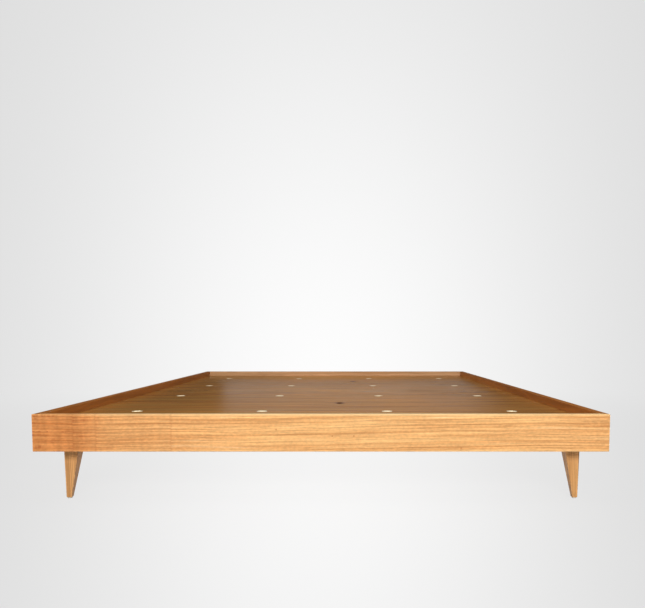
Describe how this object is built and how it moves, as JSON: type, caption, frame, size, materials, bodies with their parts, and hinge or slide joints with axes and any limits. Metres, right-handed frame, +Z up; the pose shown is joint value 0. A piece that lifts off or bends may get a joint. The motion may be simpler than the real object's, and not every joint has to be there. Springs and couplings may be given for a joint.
{
  "type": "platform floor bed",
  "caption": "Low oak platform floor bed: mitred rails around a recessed, vented plywood deck on slim tapered wooden legs, open under the frame.",
  "frame": {"origin": "on the floor, under the middle of the frame", "axes": "+X to the right across the bed seen from its front end, +Y from the front end to the rear end, +Z up"},
  "size_m": [1.42, 1.953, 0.224],
  "materials": {
    "oak_rail": "satin oiled oak",
    "oak_leg": "satin oiled oak",
    "deck_ply": "oiled oak-veneered plywood",
    "softwood": "planed softwood",
    "structural_ply": "sanded birch plywood",
    "zinc_steel": "zinc-plated pressed steel",
    "fastener_steel": "zinc-plated steel",
    "nylon": "matte nylon"
  },
  "bodies": {
    "frame": {"rail_front": "oak_rail", "rail_rear": "oak_rail", "rail_left": "oak_rail", "rail_right": "oak_rail", "ledger_left": "softwood", "ledger_right": "softwood", "ledger_front": "softwood", "ledger_rear": "softwood", "centre_beam": "softwood", "cross_bearer_left": "softwood", "cross_bearer_right": "softwood", "gusset_front_left": "structural_ply", "gusset_front_right": "structural_ply", "gusset_rear_right": "structural_ply", "gusset_rear_left": "structural_ply", "centre_pad": "structural_ply", "mitre_splines": "structural_ply", "leg_front_left": "oak_leg", "leg_front_right": "oak_leg", "leg_rear_right": "oak_leg", "leg_rear_left": "oak_leg", "leg_centre": "oak_leg", "leg_plate_front_left": "zinc_steel", "leg_plate_front_right": "zinc_steel", "leg_plate_rear_right": "zinc_steel", "leg_plate_rear_left": "zinc_steel", "leg_plate_centre": "zinc_steel", "glide_front_left": "nylon", "glide_front_right": "nylon", "glide_rear_right": "nylon", "glide_rear_left": "nylon", "glide_centre": "nylon", "beam_hanger_front": "zinc_steel", "beam_hanger_rear": "zinc_steel", "bearer_brackets": "zinc_steel", "leg_bolts": "fastener_steel", "ledger_screws": "fastener_steel", "gusset_screws": "fastener_steel", "plate_screws": "fastener_steel", "hanger_screws": "fastener_steel", "bracket_screws": "fastener_steel"},
    "front_panel": {"deck_panel_front": "deck_ply"},
    "rear_panel": {"deck_panel_rear": "deck_ply"}
  },
  "joints": [
    {"name": "lift_front_panel", "type": "slide", "parent": "frame", "child": "front_panel", "axis": [0, 0, 1], "range_m": [0, 0.15]},
    {"name": "lift_rear_panel", "type": "slide", "parent": "frame", "child": "rear_panel", "axis": [0, 0, 1], "range_m": [0, 0.15]}
  ]
}
